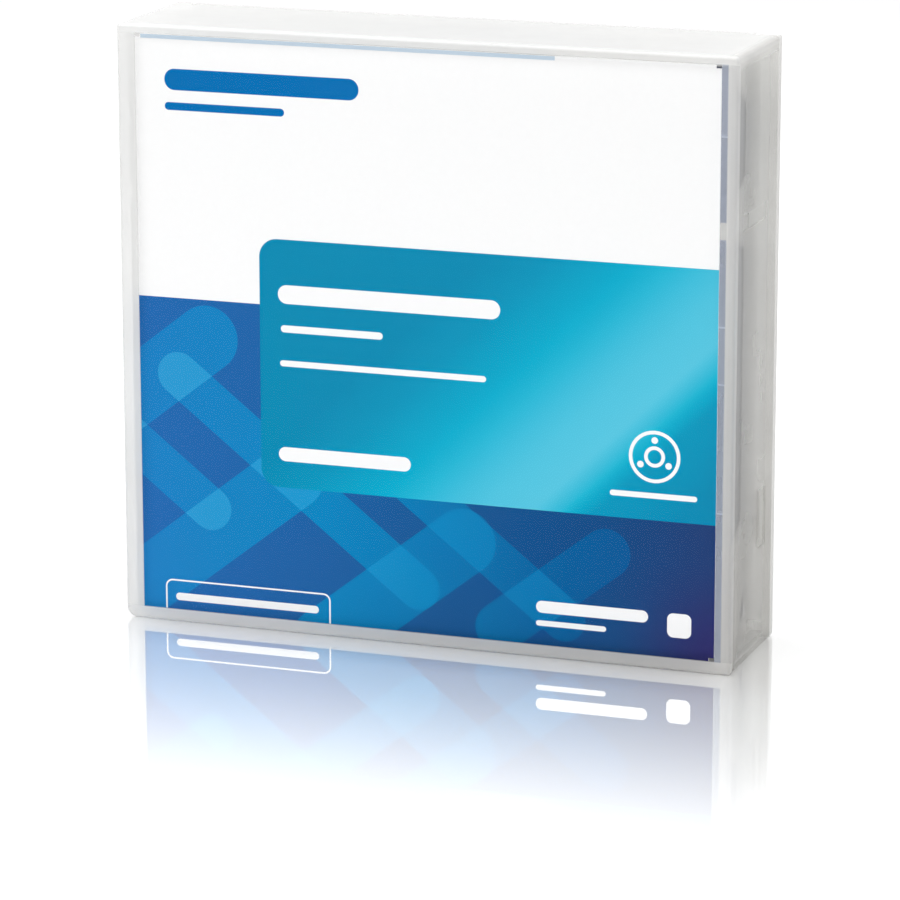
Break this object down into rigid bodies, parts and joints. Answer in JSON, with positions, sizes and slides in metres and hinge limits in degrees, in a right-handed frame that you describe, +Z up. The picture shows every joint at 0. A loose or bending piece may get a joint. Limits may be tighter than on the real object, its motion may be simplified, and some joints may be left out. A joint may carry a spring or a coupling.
{
  "type": "cased data tape cartridge",
  "caption": "Half-inch data tape cartridge with a single reel, in a hinged frosted storage case with a printed insert card, standing on its long edge.",
  "frame": {"origin": "middle of the footprint of the closed case, on the surface it stands on", "axes": "+Z up, the printed front faces -Y, +X to the right as seen from the front, where the case opens"},
  "size_m": [0.1144, 0.0276, 0.109],
  "materials": {
    "frosted_case": "frosted translucent polypropylene",
    "printed_card": "gloss-printed card",
    "cartridge_shell": "fine-grained slate-blue moulding",
    "reel_plastic": "smooth off-white moulding",
    "tape": "wound tape with a satin edge",
    "steel": "bright steel",
    "door": "fine-grained dark moulding",
    "switch": "red moulding",
    "board": "green laminate"
  },
  "bodies": {
    "base": {"case_base": "frosted_case", "upper_shell": "cartridge_shell", "lower_shell": "cartridge_shell", "shell_screws": "steel", "brake_spring": "steel", "leader_pin": "steel", "leader_pin_clip": "reel_plastic", "leader_tape": "tape", "pin_spring_lower": "steel", "pin_spring_upper": "steel", "door_spring": "steel", "memory_chip": "board"},
    "lid": {"case_lid": "frosted_case", "insert_card": "printed_card"},
    "reel": {"reel_hub": "reel_plastic", "hub_plate": "steel", "reel_upper_flange": "reel_plastic", "tape_pack": "tape"},
    "pad": {"release_pad": "reel_plastic"},
    "brake": {"brake_button": "reel_plastic"},
    "door": {"access_door": "door"},
    "switch": {"write_protect_switch": "switch"}
  },
  "joints": [
    {"name": "lid_hinge", "type": "hinge", "parent": "base", "child": "lid", "pos_m": [-0.0552, 0.0118, 0.0545], "axis": [0, 0, -1], "range_deg": [0, 180]},
    {"name": "reel_spin", "type": "hinge", "parent": "base", "child": "reel", "pos_m": [0.0001, 0, 0.0533], "axis": [0, 1, 0], "continuous": true},
    {"name": "brake_lift", "type": "slide", "parent": "base", "child": "brake", "axis": [0, -1, 0], "range_m": [0, 0.0016], "stiffness_N_per_m": 1200, "springref_m": -0.004, "deforming": ["brake_spring"]},
    {"name": "pad_lift", "type": "slide", "parent": "reel", "child": "pad", "axis": [0, -1, 0], "range_m": [0, 0.0016]},
    {"name": "door_slide", "type": "slide", "parent": "base", "child": "door", "axis": [0, 0, 1], "range_m": [0, 0.015], "stiffness_N_per_m": 60, "springref_m": -0.01, "deforming": ["door_spring"]},
    {"name": "switch_slide", "type": "slide", "parent": "base", "child": "switch", "axis": [-1, 0, 0], "range_m": [0, 0.005]}
  ],
  "couplings": [
    {"joint": "pad_lift", "follows": "brake_lift", "ratio": 1}
  ]
}
